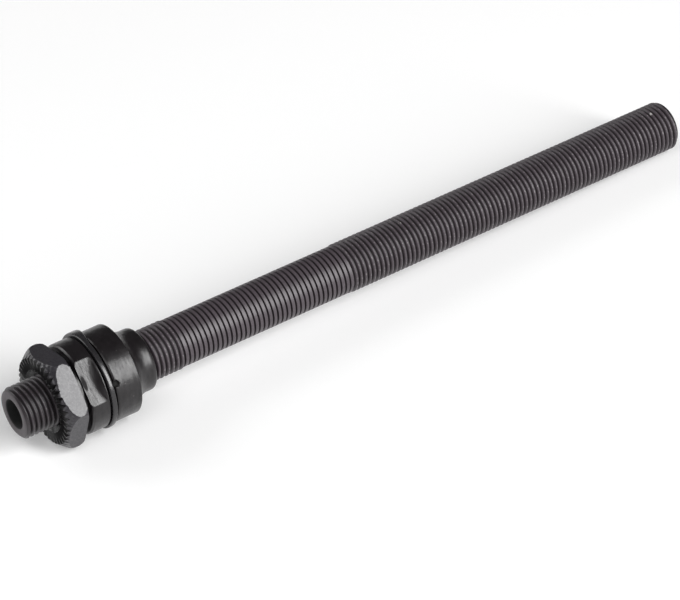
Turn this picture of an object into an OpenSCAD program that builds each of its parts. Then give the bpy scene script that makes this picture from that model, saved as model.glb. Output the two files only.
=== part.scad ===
// Rear hub axle: a hollow threaded axle with a serrated locknut jammed
// against a ball-race cone that carries a dust seal.
// Lengths along the axle are measured from its short end, which points to -X.
// The origin is the middle of the bore, and the long bare end points to +X.

/* [Axle] */
// Length over both end faces
axle_len = 146; // [130:1:180]
// Diameter over the thread crests
thread_d = 9.75; // [9.7:0.01:9.8]
// Distance from one thread groove to the next
thread_pitch = 1; // [1:1:1]
// Depth of a thread groove below the crests
thread_depth = 0.46; // [0.36:0.02:0.5]
// Diameter of the stretch where the crests are ground down
ground_d = 9.4; // [9.36:0.01:9.42]
// Start of the ground stretch
ground_start = 33; // [30:1:40]
// Length of the ground stretch
ground_len = 37; // [20:1:40]
// Bore for the quick-release skewer
skewer_d = 5.4; // [5.1:0.1:6]
// Chamfer on both rims of the axle
axle_chamfer = 0.5; // [0.3:0.05:0.6]

/* [Locknut] */
// Place of the serrated face
nut_start = 5.8; // [5.5:0.1:6.5]
// Thickness of the nut
nut_len = 4.2; // [3.8:0.1:5]
// Width across the spanner flats
nut_flats = 17; // [16:0.5:18]
// Diameter to which the six corners are turned
nut_corner_d = 19.6; // [19:0.1:19.6]
// Number of serrations on the face
serrations = 40; // [24:1:48]
// Depth of a serration
serration_depth = 0.42; // [0.2:0.02:0.5]
// Direction of one flat, turned about the axle from +Y towards +Z
flat_angle = 140; // [0:1:360]

/* [Cone] */
// Length of the cone from the locknut to the nose
cone_len = 16.3; // [15.5:0.1:17]
// Diameter of the spanner end
cone_spanner_d = 17.3; // [16.5:0.1:17.5]
// Width across the two spanner flats
cone_flats = 15; // [14:0.5:15.5]
// Length of the spanner end with its neck, up to the seal groove
cone_spanner_len = 4.7; // [4.5:0.1:5]
// Diameter of the neck that the locknut jams against
neck_d = 14.2; // [13.6:0.1:14.6]
// Length of the neck
neck_len = 1.1; // [0.6:0.1:1.4]
// Diameter of the shoulder at the ball race
shoulder_d = 17.1; // [16.8:0.1:17.4]
// Distance from the locknut to the shoulder's edge
shoulder_end = 11.25; // [10.8:0.05:11.5]
// Radius of the ball race in section
race_r = 3.4; // [3.3:0.05:3.6]
// Diameter of the nose
nose_d = 11.95; // [11.9:0.05:12.5]

/* [Seal ring] */
// Outer diameter of the seal ring
seal_d = 18.1; // [17.8:0.1:18.6]
// Width of the seal ring along the axle
seal_w = 0.95; // [0.8:0.05:1.1]
// Width of the groove that holds it
seal_groove_w = 1.7; // [1.6:0.05:1.9]
// Diameter of the groove's floor
seal_floor_d = 15.2; // [14.5:0.1:15.4]

/* [Fits] */
// Radial clearance of the nut and the cone on the thread crests
thread_gap = 0.03; // [0.02:0.01:0.06]
// Radial clearance of the seal ring on its groove floor
seal_gap = 0.03; // [0.02:0.01:0.06]

/* [Hidden] */
$fn = 96;

left = -axle_len / 2;
thread_r = thread_d / 2;
ground_r = ground_d / 2;
root_r = thread_r - thread_depth;
root_flat = 0.14;
// Wider floor of the one groove that lies in the locknut's recess.
relief_flat = 0.24;
flank = 0.36;
bore_r = thread_r + thread_gap;
hex_r = nut_flats / sqrt(3);
cone_start = nut_start + nut_len;

// Radius of the crests at a place along the axle.
function crest_r(x) =
    x > ground_start && x < ground_start + ground_len ? ground_r : thread_r;

// Floor width of the groove centred at a place along the axle.
function floor_w(x) =
    abs(x - nut_start) < thread_pitch / 2 ? relief_flat : root_flat;

// Half the opening of a groove, measured at its crests.
function mouth(x) = floor_w(x) / 2 + flank * (crest_r(x) - root_r);

// Outline of one groove, from its left crest to its right crest.
function groove(x) = [
    [crest_r(x), x - mouth(x)],
    [root_r, x - floor_w(x) / 2],
    [root_r, x + floor_w(x) / 2],
    [crest_r(x), x + mouth(x)]
];

// Grooves whose centres lie half a pitch past every whole pitch.
function grooves(from, to) = [
    for (k = [from : to - 1])
        each groove((k + 0.5) * thread_pitch)
];

// Turns an outline of [radius, place along the axle] points about the axle.
module turned() {
    translate([left, 0, 0])
        rotate([90, 0, 90])
            rotate_extrude()
                children();
}

// A bar along the axle whose section is drawn in the YZ plane.
module bar(start, len) {
    translate([left + start, 0, 0])
        rotate([90, 0, 90])
            linear_extrude(len)
                children();
}

// Threaded tube, with the crests ground down over its middle stretch.
module axle() {
    ground_end = ground_start + ground_len;
    last = floor(axle_len / thread_pitch) - 1;
    color([0.29, 0.27, 0.28])
        turned()
            polygon(concat(
                [[skewer_d / 2 + axle_chamfer / 2, 0]],
                [[thread_r - axle_chamfer, 0]],
                [[thread_r, axle_chamfer]],
                grooves(1, ground_start),
                [[thread_r, ground_start], [ground_r, ground_start]],
                grooves(ground_start, ground_end),
                [[ground_r, ground_end], [thread_r, ground_end]],
                grooves(ground_end, last),
                [[thread_r, axle_len - axle_chamfer]],
                [[thread_r - axle_chamfer, axle_len]],
                [[skewer_d / 2 + axle_chamfer / 2, axle_len]],
                [[skewer_d / 2, axle_len - axle_chamfer / 2]],
                [[skewer_d / 2, axle_chamfer / 2]]
            ));
}

// One radial tooth gap, drawn at the top of the nut's face.
module serration() {
    half_w = 0.5;
    translate([left + nut_start, 0, nut_flats / 4])
        linear_extrude(nut_flats / 2)
            polygon([
                [-0.1, -half_w * 1.24],
                [serration_depth, 0],
                [-0.1, half_w * 1.24]
            ]);
}

// Outline of the nut before the hexagon is cut: worn round at both rims.
module nut_blank() {
    corner_r = nut_corner_d / 2;
    flat_r = nut_flats / 2;
    end = nut_start + nut_len;
    polygon([
        [bore_r, nut_start],
        [flat_r - 0.3, nut_start],
        [flat_r, nut_start + 0.5],
        [flat_r + 0.5, nut_start + 0.95],
        [corner_r - 0.4, nut_start + 1.3],
        [corner_r - 0.15, nut_start + 1.7],
        [corner_r, nut_start + 2.2],
        [corner_r, end - 1],
        [corner_r - 0.18, end - 0.42],
        [corner_r - 0.4, end - 0.12],
        [corner_r - 0.8, end],
        [bore_r, end]
    ]);
}

// Hexagonal locknut with a serrated face and a countersunk recess.
module locknut() {
    recess_r = 6.05;
    recess_depth = 1.1;
    color([0.14, 0.14, 0.145])
        difference() {
            intersection() {
                turned()
                    nut_blank();
                bar(nut_start - 1, nut_len + 2)
                    rotate(flat_angle - 30)
                        circle(r = hex_r, $fn = 6);
            }
            turned()
                polygon([
                    [bore_r - 1, nut_start - 1],
                    [recess_r, nut_start - 1],
                    [recess_r, nut_start],
                    [recess_r - 0.35, nut_start + 0.5],
                    [bore_r, nut_start + recess_depth],
                    [bore_r - 1, nut_start + recess_depth]
                ]);
            for (k = [0 : serrations - 1])
                rotate([flat_angle - 90 + (k + 0.5) * 360 / serrations, 0, 0])
                    serration();
        }
}

// Spanner end of the cone: a neck and a cylinder that is cut by two flats.
module spanner_end() {
    spanner_r = cone_spanner_d / 2;
    face = cone_start + neck_len;
    chamfer = 0.35;
    intersection() {
        turned()
            polygon([
                [bore_r + 0.4, cone_start],
                [neck_d / 2, cone_start],
                [neck_d / 2, face],
                [spanner_r - chamfer, face],
                [spanner_r, face + chamfer],
                [spanner_r, cone_start + cone_spanner_len],
                [bore_r, cone_start + cone_spanner_len],
                [bore_r, cone_start + 0.4]
            ]);
        bar(cone_start - 1, cone_spanner_len + 2)
            rotate(flat_angle)
                square([cone_flats, cone_spanner_d + 2], center = true);
    }
}

// Everything past the flats: sloped run-out, seal groove, ball race and nose.
module race_end() {
    spanner_r = cone_spanner_d / 2;
    flat_r = cone_flats / 2;
    groove_start = cone_start + cone_spanner_len;
    groove_end = groove_start + seal_groove_w;
    slope_end = groove_start - 0.2;
    edge = cone_start + shoulder_end;
    nose_r = nose_d / 2;
    nose_end = cone_start + cone_len;
    // The race is an arc that runs out level into the nose.
    rise = shoulder_d / 2 - nose_r;
    run = sqrt(race_r * race_r - (race_r - rise) * (race_r - rise));
    turned()
        difference() {
            polygon([
                [bore_r, slope_end - (spanner_r - flat_r)],
                [flat_r, slope_end - (spanner_r - flat_r)],
                [spanner_r, slope_end],
                [spanner_r, groove_start],
                [seal_floor_d / 2, groove_start],
                [seal_floor_d / 2, groove_end],
                [shoulder_d / 2 - 0.15, groove_end],
                [shoulder_d / 2, groove_end + 0.3],
                [shoulder_d / 2, edge],
                [nose_r + 0.001, edge + run],
                [nose_r, edge + run],
                [nose_r, nose_end - 0.7],
                [nose_r - 0.12, nose_end - 0.3],
                [nose_r - 0.5, nose_end],
                [bore_r + 0.4, nose_end],
                [bore_r, nose_end - 0.4]
            ]);
            translate([nose_r + race_r, edge + run])
                circle(r = race_r);
        }
}

// Bearing cone, one piece from its spanner flats to its nose.
module cone() {
    color([0.2, 0.195, 0.2])
        union() {
            spanner_end();
            race_end();
        }
}

// Rubber dust seal that stands proud of the cone.
module seal_ring() {
    // The ring sits a little nearer to the spanner end than to the shoulder.
    middle = cone_start + cone_spanner_len + seal_groove_w / 2 - 0.1;
    inner = seal_floor_d / 2 + seal_gap;
    outer = seal_d / 2;
    soft = 0.15;
    color([0.09, 0.09, 0.095])
        turned()
            polygon([
                [inner, middle - seal_w / 2],
                [outer - soft, middle - seal_w / 2],
                [outer, middle - seal_w / 2 + soft],
                [outer, middle + seal_w / 2 - soft],
                [outer - soft, middle + seal_w / 2],
                [inner, middle + seal_w / 2]
            ]);
}

axle();
locknut();
cone();
seal_ring();
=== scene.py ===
# %% [markdown]
# # A rear hub axle, dressed in Blender
#
# The real object is a hollow steel axle with a rolled thread, a serrated
# locknut, a bearing cone with a ball race, and a rubber dust seal that sits in
# a groove of the cone. A construction model of it is already packed, with its
# joints. This lesson gives every piece the shape detail and the finish that a
# photograph shows, without moving or resizing anything.
#
# The frame is loaded first. Everything after it is in metres, on the same axes
# as the construction model: the axle runs along X and its middle is the origin.

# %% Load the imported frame
import math

import bmesh
import bpy
from mathutils import Matrix, Vector, noise


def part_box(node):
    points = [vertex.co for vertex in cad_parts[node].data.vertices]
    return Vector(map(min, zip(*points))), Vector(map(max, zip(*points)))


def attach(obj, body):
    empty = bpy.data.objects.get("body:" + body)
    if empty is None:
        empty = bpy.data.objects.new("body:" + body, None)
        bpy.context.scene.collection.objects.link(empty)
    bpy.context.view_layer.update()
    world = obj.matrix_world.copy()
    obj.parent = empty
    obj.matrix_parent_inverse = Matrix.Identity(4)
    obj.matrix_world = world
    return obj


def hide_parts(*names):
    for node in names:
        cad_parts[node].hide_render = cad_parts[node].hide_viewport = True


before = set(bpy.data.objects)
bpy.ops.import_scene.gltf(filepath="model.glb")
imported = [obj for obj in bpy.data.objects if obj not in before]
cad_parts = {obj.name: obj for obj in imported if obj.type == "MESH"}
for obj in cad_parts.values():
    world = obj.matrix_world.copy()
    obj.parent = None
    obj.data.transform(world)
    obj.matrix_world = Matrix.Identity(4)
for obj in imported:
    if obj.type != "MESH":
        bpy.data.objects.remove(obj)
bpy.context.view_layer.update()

# %% [markdown]
# ## Sizes
#
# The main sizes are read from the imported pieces, so the dressed pieces always
# fit them. A few more are needed that a bounding box doesn't give, such as the
# pitch of the thread or the direction in which the spanner flats point. They
# are written here once, in millimetres, with a helper that turns them into
# metres.

# %% Sizes taken from the frame, and the few that are not
MM = 0.001


def mm(value):
    return value * MM


axle_low, axle_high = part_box("axle")
nut_low, nut_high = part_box("locknut")
cone_low, cone_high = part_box("cone")
seal_low, seal_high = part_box("seal_ring")

left, right = axle_low[0], axle_high[0]
thread_radius = axle_high[2]
seal_radius = seal_high[2]

pitch = mm(1)
groove_root, flank_radius = mm(4.28), mm(4.51)
ground_radius = mm(4.7)
ground_start, ground_end = left + mm(32.65), left + mm(69.65)
skewer_radius = mm(2.7)
rim_chamfer, mouth_chamfer = mm(0.5), mm(0.25)
thread_clearance = mm(0.03)
screw_bore = thread_radius + thread_clearance

nut_half_flats = mm(8.5)
cone_half_flats = mm(7.5)
flats_point = math.radians(140)
serrations = 40

print("axle", round((right - left) / MM, 2), "mm long")

# %% [markdown]
# ## Turning a piece
#
# Every piece here is round before anything else is done to it: turned on a
# lathe, rolled or moulded. So each one starts as an outline of a few corners in
# the plane that holds the axle, and the Spin operator sweeps it round the X
# axis. The corners of the outline are beveled first, point by point, which
# rounds the edge of the finished piece. The edges are then subdivided, because
# the flats and teeth are pressed into the surface afterwards by moving its
# points, and that needs rows of points to move. Edges near the bore are never
# pressed, so they stay whole. Where a flat is pressed, rows of points can end
# up on top of each other, and `closed_up` merges them.
#
# An outline point is a place along the axle and a radius. A third number, if
# there is one, is how far the corner is rounded off.

# %% Helpers that turn an outline into a closed piece
def outline_mesh(outline, longest, plain_below):
    """A closed loop of edges, with its corners rounded and its edges split."""
    shape = bmesh.new()
    points = [shape.verts.new((point[0], 0, point[1])) for point in outline]
    for near, far in zip(points, points[1:] + points[:1]):
        shape.edges.new((near, far))
    for point, corner in zip(points, outline):
        if len(corner) > 2:
            bmesh.ops.bevel(
                shape, geom=[point], offset=corner[2], offset_type="OFFSET",
                segments=3, profile=0.5, affect="VERTICES", material=-1)
    for edge in list(shape.edges):
        cuts = int(edge.calc_length() / longest)
        if cuts and all(point.co.z > plain_below for point in edge.verts):
            bmesh.ops.subdivide_edges(shape, edges=[edge], cuts=cuts)
    return shape


def turned(outline, steps, longest, plain_below=0):
    """Spin the outline about the axle; a column of points lies on the flats."""
    shape = outline_mesh(outline, longest, plain_below)
    bmesh.ops.rotate(
        shape, verts=shape.verts, cent=(0, 0, 0),
        matrix=Matrix.Rotation(flats_point - math.radians(90), 3, "X"))
    bmesh.ops.spin(
        shape, geom=shape.verts[:] + shape.edges[:], cent=(0, 0, 0),
        axis=(1, 0, 0), angle=math.radians(360), steps=steps, use_merge=True)
    bmesh.ops.recalc_face_normals(shape, faces=shape.faces)
    return shape


def closed_up(shape):
    """Merge the points that came to lie on each other when a flat was pressed."""
    bmesh.ops.remove_doubles(shape, verts=shape.verts, dist=mm(0.002))
    bmesh.ops.dissolve_degenerate(shape, dist=mm(0.0005), edges=shape.edges)
    bmesh.ops.recalc_face_normals(shape, faces=shape.faces)
    return shape


def arc(centre, radius, start, end, parts):
    """Outline points along an arc, from one angle in degrees to another."""
    turn = [math.radians(start + (end - start) * part / parts)
            for part in range(parts + 1)]
    return [(centre[0] + radius * math.cos(angle),
             centre[1] + radius * math.sin(angle)) for angle in turn]


def finished(name, shape, finish, body, sharp=35):
    """Make the mesh a smooth object with its finish that rides on its body."""
    mesh = bpy.data.meshes.new(name)
    shape.to_mesh(mesh)
    shape.free()
    mesh.shade_smooth()
    mesh.set_sharp_from_angle(angle=math.radians(sharp))
    mesh.materials.append(finish)
    piece = bpy.data.objects.new(name, mesh)
    bpy.context.scene.collection.objects.link(piece)
    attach(piece, body)
    print(name, "has", len(mesh.polygons), "faces")
    return piece


# %% [markdown]
# ## Writing a finish as sums
#
# A procedural finish is mostly arithmetic on patterns: a speckle times a mask,
# plus a little of something else. Wiring that by hand hides what it means. The
# class below wraps one socket of a material, so that an expression such as
# `1 - grime * 0.4` adds its Math nodes by itself. Any other node comes from one
# method, which takes the node's type, its settings and its inputs.

# %% A socket that can be added and multiplied
class Signal:
    """One socket of a finish, with arithmetic."""

    def __init__(self, finish, socket):
        self.finish = finish
        self.socket = socket

    def math(self, operation, *values):
        return self.finish.node(
            "ShaderNodeMath", {"operation": operation}, dict(enumerate(values)))

    def __add__(self, other):
        return self.math("ADD", self, other)

    def __sub__(self, other):
        return self.math("SUBTRACT", self, other)

    def __rsub__(self, other):
        return self.math("SUBTRACT", other, self)

    def __mul__(self, other):
        return self.math("MULTIPLY", self, other)

    __radd__ = __add__

# %% A material made of such sockets
class Finish:
    """A material whose nodes are added by expressions."""

    def __init__(self, name, **skin):
        self.material = bpy.data.materials.new(name)
        self.material.use_nodes = True
        self.nodes = self.material.node_tree.nodes
        self.links = self.material.node_tree.links
        self.skin = self.nodes["Principled BSDF"]
        for socket, value in skin.items():
            self.skin.inputs[socket.replace("_", " ")].default_value = value
        place = self.node("ShaderNodeTexCoord", take="Object")
        self.place = self.node(
            "ShaderNodeVectorMath", {"operation": "SCALE"},
            {0: place, "Scale": 1 / MM})

    def node(self, kind, settings=None, inputs=None, take=0):
        """Add a node, set it, feed it and hand back one of its outputs."""
        node = self.nodes.new(kind)
        for setting, value in (settings or {}).items():
            setattr(node, setting, value)
        for socket, value in (inputs or {}).items():
            if isinstance(value, Signal):
                self.links.new(value.socket, node.inputs[socket])
            else:
                node.inputs[socket].default_value = value
        return Signal(self, node.outputs[take])

    def feed(self, socket, signal):
        """Let a signal drive a socket of the surface."""
        self.links.new(signal.socket, self.skin.inputs[socket])

    def noise(self, scale, detail=2.0, rough=0.5, stretch=None):
        """Soft random patches, with so many to the millimetre."""
        place = self.place
        if stretch:
            place = self.node(
                "ShaderNodeVectorMath", {"operation": "MULTIPLY"},
                {0: place, 1: stretch})
        return self.node(
            "ShaderNodeTexNoise", None,
            {"Vector": place, "Scale": scale, "Detail": detail,
             "Roughness": rough})

    def step(self, signal, low, high):
        """Zero below one value, one above the other, smooth between them."""
        return self.node(
            "ShaderNodeMapRange", {"interpolation_type": "SMOOTHSTEP"},
            {"Value": signal, "From Min": low, "From Max": high})

    def mix(self, amount, first, second):
        """Blend two colours."""
        return self.node(
            "ShaderNodeMix", {"data_type": "RGBA"},
            {0: amount, 6: first, 7: second}, take=2)

    def bump(self, height, strength, depth):
        """Raise the surface by a height pattern, so many millimetres deep."""
        return self.node(
            "ShaderNodeBump", None,
            {"Height": height, "Strength": strength, "Distance": mm(depth)},
            take="Normal")

    def spot(self, along, angle, radius, half_along, half_around):
        """A soft oval mark: its place along, about and out, and its half sizes."""
        turn = math.radians(angle)
        middle = (left / MM + along, radius * math.cos(turn),
                  radius * math.sin(turn))
        offset = self.node(
            "ShaderNodeVectorMath", {"operation": "SUBTRACT"},
            {0: self.place, 1: middle})
        scaled = self.node(
            "ShaderNodeVectorMath", {"operation": "MULTIPLY"},
            {0: offset, 1: (1 / half_along, 1 / half_around, 1 / half_around)})
        away = self.node(
            "ShaderNodeVectorMath", {"operation": "LENGTH"}, {0: scaled},
            take="Value")
        return self.step(away, 1.0, 0.6)

    def along_and_out(self):
        """Place along the axle, and distance from its middle, in millimetres."""
        along = self.node("ShaderNodeSeparateXYZ", None, {0: self.place}, "X")
        across = self.node(
            "ShaderNodeVectorMath", {"operation": "MULTIPLY"},
            {0: self.place, 1: (0, 1, 1)})
        out = self.node(
            "ShaderNodeVectorMath", {"operation": "LENGTH"}, {0: across},
            take="Value")
        return along, out

    def tell(self):
        """Print how many nodes the finish is made of."""
        print(self.material.name, "has", len(self.nodes), "nodes")


# %% [markdown]
# ## The axle's finish
#
# The thread is rolled and then phosphated, which leaves a dull, dark grey skin
# with a faint warm tint. The crests are rubbed lighter and smoother than the
# grooves, and the grooves are also coloured darker as painted shade. Here and
# there a crest carries a painted glint: a bright colour that stands in for a
# highlight on a worn speck. The distance from the middle of the axle tells crest
# from groove, so it drives the colour. The short stub outside the nut was handled
# more and is darker and a little shinier. The bore is coloured nearly black, as
# painted shade inside the tube. Three tiny bare chips show on the crests; each is
# a soft oval in space round a point on the surface.

# %% Dull phosphated steel
def rgb(red, green, blue):
    return (red, green, blue, 1.0)


phosphate = Finish("phosphated_steel", Metallic=0.0, IOR=1.47)
along, out = phosphate.along_and_out()
crest = phosphate.step(out, 4.35, 4.72)
grain = phosphate.noise(5.0, 4.0, 0.65)
cloud = phosphate.noise(0.35, 3.0, 0.6)
streak = phosphate.noise(2.0, 3.0, 0.6, stretch=(4.0, 0.5, 0.5))
light = phosphate.mix(cloud, rgb(0.041, 0.032, 0.038), rgb(0.06, 0.0485, 0.0565))
dusty = phosphate.mix(
    phosphate.step(grain, 0.35, 0.7), light, rgb(0.075, 0.0625, 0.071))
# Grooves are darker than crests: partly wear on the crests, partly painted shade
# in the grooves.
skin = phosphate.mix(crest, rgb(0.024, 0.0195, 0.0215), dusty)
# Painted highlight: worn specks on the crests get a bright colour that stands in
# for glints.
painted_crest_glint = (phosphate.step(out, 4.82, 4.86)
         * phosphate.step(phosphate.noise(2.6, 2.0, 0.6), 0.56, 0.64))
skin = phosphate.mix(painted_crest_glint * 0.8, skin, rgb(0.22, 0.2, 0.21))
stub = phosphate.step(along, (nut_low[0] + mm(1)) / MM, nut_low[0] / MM)
skin = phosphate.mix(stub * 0.6, skin, rgb(0.01, 0.008, 0.009))
end_face = phosphate.step(along, left / MM + 0.06, left / MM + 0.02)
skin = phosphate.mix(end_face, skin, rgb(0.056, 0.046, 0.052))
# Painted shade: the bore is coloured nearly black, and made rougher, for the shade
# inside the tube.
painted_bore_shade = phosphate.step(out, 2.95, 2.75)
skin = phosphate.mix(painted_bore_shade, skin, rgb(0.003, 0.003, 0.003))

chips = (phosphate.spot(141.9, 101, 4.85, 0.34, 0.34)
         + phosphate.spot(82.7, 93, 4.8, 0.22, 0.22)
         + phosphate.spot(83.2, 96, 4.8, 0.2, 0.2))
skin = phosphate.mix(chips, skin, rgb(0.42, 0.40, 0.39))
phosphate.feed("Base Color", skin)
phosphate.feed("Roughness", 0.5 - crest * 0.1 + (grain - 0.5) * 0.2
               - stub * 0.06 + painted_bore_shade * 0.4)
phosphate.feed("Normal", phosphate.bump(grain + streak * 0.6, 0.25, 0.06))
phosphate.tell()

# %% [markdown]
# ## The thread
#
# A thread is one groove that runs round the axle as a helix. Spin can make it
# directly: with an offset for each step, the outline of one groove climbs by
# one pitch in a full turn, and ends where the next turn begins. That one turn
# is then doubled again and again until it is longer than the axle, and the
# points where two turns meet are merged. It is cut to length with two planes.
#
# The middle stretch was ground after rolling, so its crests are lower and flat.
# The outline has a point partway up each flank. That point and everything
# outside it are moved to the ground radius, so the flat has a clean edge and
# the lower wall of the groove stays whole. The rims are chamfered by pulling
# points in to a cone.

# %% Spin one turn of thread and repeat it
def one_turn(steps):
    """One pitch of thread, made by a spin that climbs as it turns."""
    flank = [
        (pitch / 2, thread_radius), (mm(0.39), thread_radius - mm(0.01)),
        (mm(0.3), thread_radius - mm(0.085)), (mm(0.2), flank_radius),
        (mm(0.07), groove_root)]
    groove = [(-x, radius) for x, radius in flank] + flank[::-1]
    shape = bmesh.new()
    points = [shape.verts.new((x, 0, radius)) for x, radius in groove]
    for near, far in zip(points, points[1:]):
        shape.edges.new((near, far))
    bmesh.ops.spin(
        shape, geom=shape.verts[:] + shape.edges[:], cent=(0, 0, 0),
        axis=(1, 0, 0), dvec=(pitch / steps, 0, 0), angle=math.radians(360),
        steps=steps, use_merge=False)
    return shape


def repeated(shape, turns):
    """Double the turn until there are enough of them in a row."""
    count = 1
    while count < turns:
        copy = bmesh.ops.duplicate(
            shape, geom=shape.verts[:] + shape.edges[:] + shape.faces[:])
        points = [part for part in copy["geom"]
                  if isinstance(part, bmesh.types.BMVert)]
        bmesh.ops.translate(shape, verts=points, vec=(count * pitch, 0, 0))
        count *= 2
    bmesh.ops.remove_doubles(shape, verts=shape.verts, dist=mm(0.005))
    return shape


def cut_at(shape, place, keep_right=None):
    """Cut through at a place along the axle, and maybe drop one side."""
    bmesh.ops.bisect_plane(
        shape, geom=shape.verts[:] + shape.edges[:] + shape.faces[:],
        dist=mm(0.0001), plane_co=(place, 0, 0), plane_no=(1, 0, 0),
        clear_inner=keep_right is True, clear_outer=keep_right is False)


thread_steps = 56
thread_phase = mm(0.06)
turns_needed = (right - left) / pitch + 2
thread = repeated(one_turn(thread_steps), turns_needed)
bmesh.ops.translate(
    thread, verts=thread.verts, vec=(left - pitch * 1.5 + thread_phase, 0, 0))
cut_at(thread, left, keep_right=True)
cut_at(thread, right, keep_right=False)
print("thread:", len(thread.verts), "points")

# %% Grind the middle stretch and chamfer both rims
for place in (left + rim_chamfer, right - rim_chamfer):
    cut_at(thread, place)

touched_from = flank_radius * 0.99
for point in thread.verts:
    radius = math.hypot(point.co.y, point.co.z)
    rim = min(point.co.x - left, right - point.co.x)
    allowed = thread_radius - max(0, rim_chamfer - rim)
    if ground_start < point.co.x < ground_end and radius > touched_from:
        point.co.yz *= ground_radius / radius
    elif radius > allowed:
        point.co.yz *= allowed / radius
print("ground stretch:", round((ground_end - ground_start) / MM, 1), "mm long")

# %% [markdown]
# ## The bore
#
# The axle is a tube: a skewer passes through it. The bore is a second spin,
# with a small chamfer at each mouth. The ring between the thread's cut end and
# the bore's mouth has an uneven outer edge, because the helix is cut through,
# so it is filled with triangles instead of being bridged.

# %% Bore the axle and close its end faces
mouth_radius = skewer_radius + mouth_chamfer
bore_line = [
    (left, mouth_radius), (left + mouth_chamfer, skewer_radius),
    (right - mouth_chamfer, skewer_radius), (right, mouth_radius)]
points = [thread.verts.new((x, 0, radius)) for x, radius in bore_line]
edges = [thread.edges.new(pair) for pair in zip(points, points[1:])]
bmesh.ops.spin(
    thread, geom=points + edges, cent=(0, 0, 0), axis=(1, 0, 0),
    angle=math.radians(360), steps=48, use_merge=True)
for face_x, outward in ((left, -1), (right, 1)):
    rims = [edge for edge in thread.edges
            if edge.is_boundary
            and all(abs(point.co.x - face_x) < mm(0.001) for point in edge.verts)]
    bmesh.ops.triangle_fill(
        thread, edges=rims, use_beauty=True, normal=(outward, 0, 0))
bmesh.ops.recalc_face_normals(thread, faces=thread.faces)
open_edges = sum(edge.is_boundary for edge in thread.edges)
print("axle: open edges left:", open_edges)

axle = finished(
    "threaded_axle", thread, phosphate.material, "axle", sharp=50)
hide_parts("axle")

# %% [markdown]
# ## The locknut's finish
#
# The nut is blackened steel, tumbled before it was coated. Its flats are satin
# with a fine mottled grain. Its toothed face is coloured darker as painted shade
# in the grooves of the teeth. The coating is nearly a dielectric: dark
# underneath, with a clear, soft reflection on top. Small burnished patches
# reflect a little more, which gives the shine on the flats its grain.

# %% Blackened satin steel
black_nut = Finish(
    "blackened_nut_steel", Metallic=0.0, IOR=1.44, Coat_Roughness=0.3)
along, out = black_nut.along_and_out()
mottle = black_nut.noise(3.5, 5.0, 0.7)
patch = black_nut.noise(0.6, 2.0, 0.5)
base = black_nut.mix(patch, rgb(0.02, 0.0185, 0.022), rgb(0.03, 0.028, 0.033))
base = black_nut.mix(
    black_nut.step(mottle, 0.45, 0.75), base, rgb(0.042, 0.039, 0.045))
# Painted shade: the toothed face inside the chamfer is coloured near black for the
# shade in its grooves.
painted_teeth_shade = (black_nut.step(out, 8.35, 8.1)
           * black_nut.step(along, nut_low[0] / MM + 1.4, nut_low[0] / MM + 1))
black_nut.feed("Base Color", black_nut.mix(
    painted_teeth_shade, base, rgb(0.009, 0.0085, 0.009)))
black_nut.feed("Roughness", 0.22 + mottle * 0.16)
burnish = black_nut.step(black_nut.noise(2.6, 3.0, 0.65), 0.42, 0.62)
black_nut.feed("Coat Weight", burnish * 0.24)
black_nut.feed("Normal", black_nut.bump(mottle, 0.22, 0.05))
black_nut.tell()

# %% [markdown]
# ## The locknut
#
# The nut starts as a turned blank with worn, round rims and a countersunk
# recess in its toothed face. Spanners and frames have rubbed the front rim, so
# noise moves it by up to a fifth of a millimetre, and the flats end unevenly
# there. The hexagon is then pressed into the blank: every point that stands
# further out than the nearest flat is moved in to the flat's plane. Where the
# blank is already lower, near the rims and at the corners, it stays round, and
# that draws the curved edge that each flat has on a real nut. The teeth are
# grooves in the face, deeper towards the rim. Each point of the face sinks by
# how close it is to the middle line of its groove.

# %% Turn the blank of the nut
nut_face, nut_back = nut_low[0], nut_high[0]
nut_corner = mm(9.8)
blank = turned([
    (nut_face + mm(1.1), screw_bore),
    (nut_face + mm(0.5), mm(5.7), mm(0.2)),
    (nut_face, mm(6.05)),
    (nut_face, nut_half_flats - mm(0.3), mm(0.12)),
    (nut_face + mm(0.5), nut_half_flats, mm(0.15)),
    (nut_face + mm(0.95), nut_half_flats + mm(0.5), mm(0.15)),
    (nut_face + mm(1.3), nut_corner - mm(0.4), mm(0.15)),
    (nut_face + mm(1.7), nut_corner - mm(0.15), mm(0.15)),
    (nut_face + mm(2.2), nut_corner, mm(0.2)),
    (nut_back - mm(1), nut_corner, mm(0.2)),
    (nut_back - mm(0.42), nut_corner - mm(0.18), mm(0.15)),
    (nut_back - mm(0.12), nut_corner - mm(0.4), mm(0.1)),
    (nut_back, nut_corner - mm(0.8), mm(0.15)),
    (nut_back, screw_bore + mm(0.3)),
    (nut_back - mm(0.3), screw_bore),
], steps=serrations * 12, longest=mm(0.18), plain_below=mm(5.5))
print("nut blank:", len(blank.verts), "points")

# %% Wear its rim, press the hexagon and cut the teeth
tooth_angle = math.radians(360) / serrations
tooth_half = mm(0.5)
tooth_inner, tooth_outer = mm(6), mm(9.6)
tooth_depth, tooth_slope = mm(0.42), 0.1
worn_length, worn_from = mm(2.2), mm(8.3)
wear_depth, wear_grain = mm(0.2), mm(0.6)


def from_middle(angle, spacing):
    """How far an angle is from the nearest multiple of a spacing."""
    return (angle + spacing / 2) % spacing - spacing / 2


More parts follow.
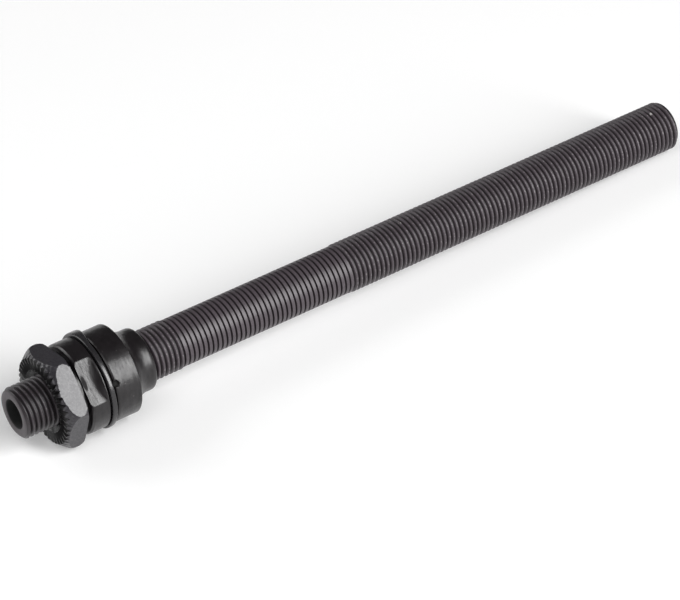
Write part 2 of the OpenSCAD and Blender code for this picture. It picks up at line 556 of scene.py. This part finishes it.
for point in blank.verts:
    radius = math.hypot(point.co.y, point.co.z)
    if radius > worn_from:
        fade = max(0, 1 - (point.co.x - nut_face) / worn_length)
        wear = wear_depth * fade * noise.noise(point.co / wear_grain)
        point.co.yz *= 1 + wear / radius
        radius += wear
    angle = math.atan2(point.co.z, point.co.y) - flats_point
    side = from_middle(angle, math.radians(60))
    flat = nut_half_flats / math.cos(side)
    if radius > flat:
        point.co.yz *= flat / radius
    sideways = abs(radius * from_middle(angle + tooth_angle / 2, tooth_angle))
    deepest = tooth_depth + tooth_slope * (radius - tooth_inner)
    sunk_to = nut_face + deepest * (1 - sideways / tooth_half)
    if tooth_inner < radius < tooth_outer and point.co.x < sunk_to:
        point.co.x = sunk_to
closed_up(blank)

locknut = finished(
    "serrated_locknut", blank, black_nut.material, "locknut",
    sharp=24)
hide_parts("locknut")

# %% [markdown]
# ## The cone's finish
#
# The cone is hardened, ground and blackened, and it is darker than the nut.
# Turning leaves very fine rings, grinding leaves shallow waves, and handling
# leaves a few rubbed places. A thin coat that comes and goes in hairlines round
# the piece gives its shine a grain. Two marks have a place of their own, and both
# are painted: a dark reflection painted on the flat, and painted shade in a dent
# of the shoulder.

# %% Smooth black-oxide steel
dent_along, dent_angle = 16.75, 154.5
black_cone = Finish(
    "black_oxide_cone_steel", Metallic=0.0, IOR=1.46, Coat_Roughness=0.25)
haze = black_cone.noise(0.7, 4.0, 0.6)
rings = black_cone.noise(3.0, 2.0, 0.5, stretch=(6.0, 0.15, 0.15))
speck = black_cone.noise(4.0, 3.0, 0.6)
waves = black_cone.noise(0.7, 1.0, 0.5)
base = black_cone.mix(haze, rgb(0.0032, 0.0024, 0.0028), rgb(0.01, 0.0078, 0.009))
rubbed = black_cone.step(black_cone.noise(1.6, 2.0, 0.5), 0.7, 0.76)
base = black_cone.mix(rubbed * 0.7, base, rgb(0.09, 0.08, 0.084))
# Painted shade: the dent in the shoulder is coloured nearly black.
notch = black_cone.spot(dent_along, dent_angle, 8.3, 0.66, 0.74)
# Painted reflection: a dark patch on the flat where its reflection goes dark.
painted_flat_reflection = black_cone.spot(11.5, 138.5, 7.5, 0.5, 1.75)
black_cone.feed("Base Color", black_cone.mix(
    notch + painted_flat_reflection * 0.6, base, rgb(0.001, 0.001, 0.001)))
black_cone.feed(
    "Roughness", 0.2 + haze * 0.2 + speck * 0.06 + (notch + painted_flat_reflection) * 0.45)
hairs = black_cone.noise(3.0, 3.0, 0.65, stretch=(1.3, 0.14, 0.14))
black_cone.feed("Coat Weight", black_cone.step(hairs, 0.4, 0.64) * 0.28
                * (1 - notch - painted_flat_reflection))
black_cone.feed("Normal", black_cone.bump(
    waves + rings * 0.3 + speck * 0.16, 0.5, 0.12))
black_cone.tell()

# %% [markdown]
# ## The cone
#
# The cone is one turned piece: a spanner end, a groove for the seal, a
# shoulder, the ball race and a nose. The race is an arc that leaves the
# shoulder steeply and runs out level into the nose. Two flats are milled on the
# spanner end. They end in a slope that was turned, not milled, so the slope
# keeps its distance from the axle's middle while the flat doesn't, and the two
# meet in a curve. A point may stand as far out as the flat or the slope allows,
# whichever is further, with a small fillet where the two are equal. One small
# dent is pressed into the shoulder beside the seal, where a tool has hit it.

# %% Sizes of the cone, and its ball race
cone_start, cone_end = cone_low[0], cone_high[0]
neck_radius, spanner_radius, shoulder_radius = mm(7.1), mm(8.65), mm(8.55)
groove_floor = mm(7.6)
spanner_face = cone_start + mm(1.1)
groove_start, groove_end = cone_start + mm(4.7), cone_start + mm(6.4)
slope_end = groove_start - mm(0.2)
shoulder = cone_start + mm(11.25)
nose_radius, race_radius = mm(5.975), mm(3.4)

rise = shoulder_radius - nose_radius
run = math.sqrt(race_radius ** 2 - (race_radius - rise) ** 2)
race_middle = (shoulder + run, nose_radius + race_radius)
race_start = 180 + math.degrees(math.asin((race_radius - rise) / race_radius))
race = arc(race_middle, race_radius, race_start, 270, 14)
print("ball race:", round(run / MM, 2), "mm long,", round(rise / MM, 2), "mm high")

# %% Turn the cone
lathe_work = turned([
    (cone_start, screw_bore + mm(0.4)),
    (cone_start, neck_radius, mm(0.08)),
    (spanner_face, neck_radius, mm(0.1)),
    (spanner_face, spanner_radius - mm(0.35), mm(0.08)),
    (spanner_face + mm(0.35), spanner_radius, mm(0.1)),
    (groove_start, spanner_radius, mm(0.08)),
    (groove_start, groove_floor),
    (groove_end, groove_floor),
    (groove_end, shoulder_radius - mm(0.15), mm(0.05)),
    (groove_end + mm(0.3), shoulder_radius, mm(0.12)),
    *race,
    (cone_end - mm(0.7), nose_radius, mm(0.2)),
    (cone_end - mm(0.3), nose_radius - mm(0.12), mm(0.15)),
    (cone_end, nose_radius - mm(0.5), mm(0.1)),
    (cone_end, screw_bore + mm(0.4)),
    (cone_end - mm(0.4), screw_bore),
    (cone_start + mm(0.4), screw_bore),
], steps=360, longest=mm(0.12), plain_below=mm(6.2))
print("turned cone:", len(lathe_work.verts), "points")

# %% Mill its flats and press the dent
fillet = mm(0.36)

for point in lathe_work.verts:
    if point.co.x > groove_start + mm(0.01):
        continue
    radius = math.hypot(point.co.y, point.co.z)
    angle = math.atan2(point.co.z, point.co.y) - flats_point
    side = from_middle(angle, math.radians(180))
    slope = spanner_radius - (slope_end - point.co.x)
    flat = cone_half_flats / max(math.cos(side), 0.1)
    allowed = (flat + slope + math.hypot(flat - slope, fillet)) / 2
    if radius > allowed:
        point.co.yz *= allowed / radius


def dent(shape, place, angle, size, depth):
    """Press a soft hollow: its half length, half width and depth."""
    for point in shape.verts:
        radius = math.hypot(point.co.y, point.co.z)
        if radius < groove_floor - mm(0.15):
            continue
        turn = math.atan2(point.co.z, point.co.y) - math.radians(angle)
        sideways = radius * from_middle(turn, math.radians(360)) / size[1]
        away = math.hypot((point.co.x - left - place) / size[0], sideways)
        if away < 1:
            point.co.yz *= 1 - depth * (1 - away ** 4) / radius


dent(lathe_work, mm(dent_along), dent_angle, (mm(0.62), mm(0.7)), mm(0.55))
closed_up(lathe_work)

cone = finished(
    "ball_race_cone", lathe_work, black_cone.material, "cone",
    sharp=24)
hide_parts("cone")

# %% [markdown]
# ## The seal ring
#
# The seal is a moulded rubber ring that stands a little proud of the cone. Its
# edges are rounded, and its skin is smooth enough to catch the light. It isn't
# seated evenly: over a quarter of its round the outer lip bulges towards the
# shoulder. The bulge is drawn by moving the ring's outer points along the axle
# and a little outwards, most in the middle of that stretch and not at all at
# its ends.

# %% Rubber, and the ring made of it
rubber = Finish("moulded_rubber", Metallic=0.0, IOR=1.5)
bloom = rubber.noise(1.2, 3.0, 0.6)
rubber.feed("Base Color", rubber.mix(
    bloom, rgb(0.01, 0.01, 0.011), rgb(0.022, 0.02, 0.022)))
rubber.feed("Roughness", 0.16 + bloom * 0.2)
rubber.feed("Normal", rubber.bump(rubber.noise(2.5, 3.0, 0.6), 0.15, 0.04))

seal = turned([
    (seal_low[0], groove_floor + mm(0.03)),
    (seal_low[0], seal_radius, mm(0.2)),
    (seal_high[0], seal_radius, mm(0.2)),
    (seal_high[0], groove_floor + mm(0.03)),
], steps=160, longest=mm(0.15))

lip_angle, lip_reach = math.radians(50), math.radians(44)
lip_slide, lip_rise = mm(1.1), mm(0.25)
for point in seal.verts:
    radius = math.hypot(point.co.y, point.co.z)
    aside = from_middle(
        math.atan2(point.co.z, point.co.y) - lip_angle, math.radians(360))
    if abs(aside) > lip_reach or radius < shoulder_radius + mm(0.04):
        continue
    lift = math.cos(math.pi / 2 * aside / lip_reach) ** 1.2
    across = (point.co.x - seal_low[0]) / (seal_high[0] - seal_low[0])
    point.co.x += lip_slide * lift * across
    point.co.yz *= 1 + lip_rise * lift / radius
seal_ring = finished(
    "dust_seal_ring", seal, rubber.material, "seal", sharp=40)
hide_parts("seal_ring")

# %% [markdown]
# ## The floor
#
# The axle lies on its side. It rests on the seal ring and on the thread at the
# far end, which is thinner, so the floor is a plane that leans by almost two
# degrees against the axle. It is worked out from those two points. The floor is
# white paper: pale enough to show as the white of the photograph, and still
# able to hold the soft shadow under the metal. A small glow lifts it to white.
# Only the camera and the reflections see that glow.

# %% Lay a sheet of white paper under the piece
near_rest = Vector(((seal_low[0] + seal_high[0]) / 2, 0, -seal_radius))
far_rest = Vector((right - rim_chamfer, 0, -thread_radius))
lean = math.atan2(far_rest.z - near_rest.z, far_rest.x - near_rest.x)

paper = Finish("white_paper", Roughness=0.9)
paper.skin.inputs["Base Color"].default_value = rgb(0.88, 0.88, 0.88)
paper_glow = 0.12
paper.skin.inputs["Emission Strength"].default_value = paper_glow
camera_ray = paper.node("ShaderNodeLightPath", take="Is Camera Ray")
mirror_ray = paper.node("ShaderNodeLightPath", take="Is Glossy Ray")
paper.feed("Emission Color", camera_ray + mirror_ray)
sheet = bmesh.new()
bmesh.ops.create_grid(sheet, x_segments=1, y_segments=1, size=2.0)
bmesh.ops.rotate(
    sheet, verts=sheet.verts, cent=(0, 0, 0),
    matrix=Matrix.Rotation(-lean, 3, "Y"))
bmesh.ops.translate(sheet, verts=sheet.verts, vec=near_rest)
floor_mesh = bpy.data.meshes.new("paper_floor")
sheet.to_mesh(floor_mesh)
sheet.free()
floor_mesh.materials.append(paper.material)
floor = bpy.data.objects.new("paper_floor", floor_mesh)
bpy.context.scene.collection.objects.link(floor)
print("floor leans", round(math.degrees(lean), 2), "degrees")

# %% [markdown]
# ## Light
#
# The photograph is a studio shot on white. Dark, shiny metal shows mostly its
# surroundings. So the room is dim and even, and the shapes are drawn by a few
# large soft boxes. The key is a tall one to the right of the camera, and it is
# what makes one flat of the nut and a band along the cone shine. The direction
# to it follows from that flat: light leaves a mirror at the angle at which it
# came. A weak box overhead opens the shadows, and another one behind the piece
# shows its far side when it is turned.

# %% A dim white room and three soft boxes
world = bpy.data.worlds.new("white_room")
bpy.context.scene.world = world
world.use_nodes = True
sky = world.node_tree.nodes["Background"]
sky.inputs["Color"].default_value = (1, 1, 1, 1)
room_light = 0.09
sky.inputs["Strength"].default_value = room_light

nut_middle = Vector(((nut_face + nut_back) / 2, 0, 0))
camera_place = Vector((mm(-277.33), mm(-422.58), mm(382.94)))


def mirrored(toward, angle):
    """The direction that a face at this angle about the axle reflects."""
    face = Vector((0, math.cos(angle), math.sin(angle)))
    return 2 * toward.dot(face) * face - toward


def soft_box(name, direction, distance, size, power):
    """A rectangular lamp that faces the nut from one direction."""
    lamp = bpy.data.lights.new(name, "AREA")
    lamp.shape = "RECTANGLE"
    lamp.size, lamp.size_y = size
    lamp.energy = power
    holder = bpy.data.objects.new(name, lamp)
    bpy.context.scene.collection.objects.link(holder)
    holder.location = nut_middle + direction.normalized() * distance
    holder.rotation_euler = direction.to_track_quat("Z", "Y").to_euler()


to_camera = (camera_place - nut_middle).normalized()
key_direction = mirrored(to_camera, flats_point + math.radians(2))
soft_box("key_soft_box", key_direction,
         distance=1.2, size=(0.35, 1.05), power=18.5)
soft_box("top_soft_box", Vector((-0.5, -0.4, 0.77)),
         distance=0.9, size=(0.6, 0.6), power=2.5)
soft_box("back_soft_box", Vector((-0.45, 0.75, 0.48)),
         distance=0.9, size=(0.6, 0.6), power=3.4)
print("soft box towards", [round(v, 2) for v in key_direction])

# %% [markdown]
# ## Camera
#
# The place of the camera was found from the photograph: the outline of the
# axle narrows towards the far end, and the grooves of the thread bend, and both
# depend on where the camera stood. It looks down at the short end with a long
# lens, so the axle climbs to the right, and it is rolled by almost three
# degrees.

# %% Stand the camera where the photograph was taken
photo_size = (680, 600)
focal_pixels = 3427
camera_aim = Vector((mm(-2.32), mm(2.07), mm(-9.03)))
camera_roll = math.radians(-2.63)

lens = bpy.data.cameras.new("photo_camera")
lens.sensor_fit = "HORIZONTAL"
lens.sensor_width = 36
lens.lens = focal_pixels / photo_size[0] * lens.sensor_width
lens.clip_start, lens.clip_end = 0.01, 10
camera = bpy.data.objects.new("photo_camera", lens)
bpy.context.scene.collection.objects.link(camera)
look = (camera_aim - camera_place).to_track_quat("-Z", "Y").to_matrix()
camera.matrix_world = (
    Matrix.Translation(camera_place)
    @ (look @ Matrix.Rotation(camera_roll, 3, "Z")).to_4x4())
bpy.context.scene.camera = camera
bpy.context.scene.view_settings.view_transform = "Standard"
print("camera:", round(lens.lens, 1), "mm lens,",
      round((camera_place - camera_aim).length, 3), "m away")
